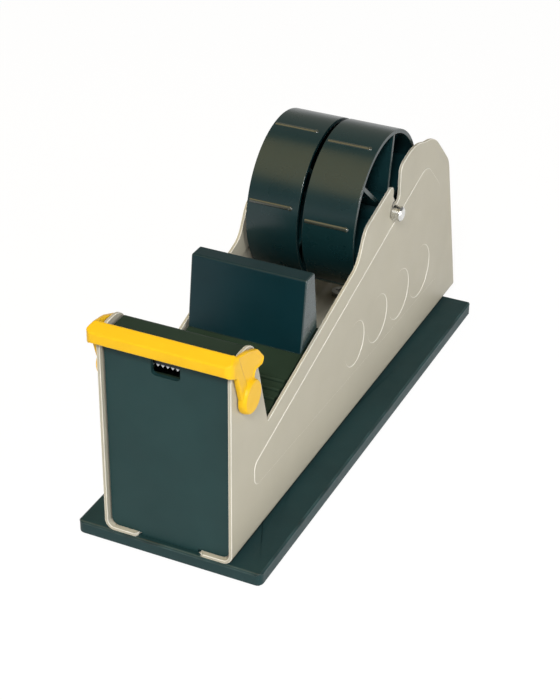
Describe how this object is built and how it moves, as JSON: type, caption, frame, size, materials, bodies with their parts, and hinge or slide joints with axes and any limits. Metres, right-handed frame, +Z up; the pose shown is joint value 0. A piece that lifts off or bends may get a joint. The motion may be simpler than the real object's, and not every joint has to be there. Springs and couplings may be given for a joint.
{
  "type": "multi-roll tape dispenser",
  "caption": "Counter dispenser for wide tape rolls: sheet frame on a weighted base, core hubs on a lift-out axle, ribbed deck, tape stop and a sprung guard over a toothed blade.",
  "frame": {"origin": "on the table under the middle of the whole object", "axes": "+Z up, +Y from the blade at the front to the open back, +X to the right seen from the front"},
  "size_m": [0.087, 0.2652, 0.1335],
  "materials": {
    "base_paint": "dark green-grey satin paint",
    "frame_paint": "light beige-grey satin paint",
    "dark_moulding": "dark green-grey moulded plastic",
    "hub_plastic": "near-black moulded plastic with a soft gloss",
    "guard_plastic": "warm yellow moulded plastic",
    "axle_steel": "bright turned steel",
    "blade_steel": "ground blade steel",
    "spring_steel": "drawn spring wire",
    "screw_zinc": "zinc plated",
    "washer_plastic": "natural nylon",
    "foot_rubber": "black rubber"
  },
  "bodies": {
    "stand": {"base_plate": "base_paint", "rubber_feet": "foot_rubber", "frame": "frame_paint", "frame_screws": "screw_zinc", "tape_deck": "dark_moulding", "deck_screws": "screw_zinc", "front_panel": "dark_moulding", "panel_screws": "screw_zinc", "blade": "blade_steel", "blade_screws": "screw_zinc", "tape_stop": "dark_moulding", "stop_screws": "screw_zinc", "guard_spring_left": "spring_steel", "guard_spring_right": "spring_steel"},
    "guard": {"blade_guard": "guard_plastic", "guard_pins": "axle_steel"},
    "axle_rod": {"axle": "axle_steel", "hub_washers": "washer_plastic"},
    "left_hub": {"hub_left": "hub_plastic"},
    "right_hub": {"hub_right": "hub_plastic"}
  },
  "joints": [
    {"name": "guard_swing", "type": "hinge", "parent": "stand", "child": "guard", "pos_m": [0, -0.11535, 0.085], "axis": [1, 0, 0], "range_deg": [0, 40], "stiffness_Nm_per_rad": 0.06, "springref_deg": -20.05, "deforming": ["guard_spring_left", "guard_spring_right"]},
    {"name": "axle_lift", "type": "slide", "parent": "stand", "child": "axle_rod", "axis": [0, 0.2419, 0.9703], "range_m": [0, 0.09]},
    {"name": "left_hub_spin", "type": "hinge", "parent": "axle_rod", "child": "left_hub", "pos_m": [-0.01388, 0.03836, 0.0955], "axis": [1, 0, 0], "continuous": true},
    {"name": "right_hub_spin", "type": "hinge", "parent": "axle_rod", "child": "right_hub", "pos_m": [0.01388, 0.03836, 0.0955], "axis": [1, 0, 0], "continuous": true}
  ]
}
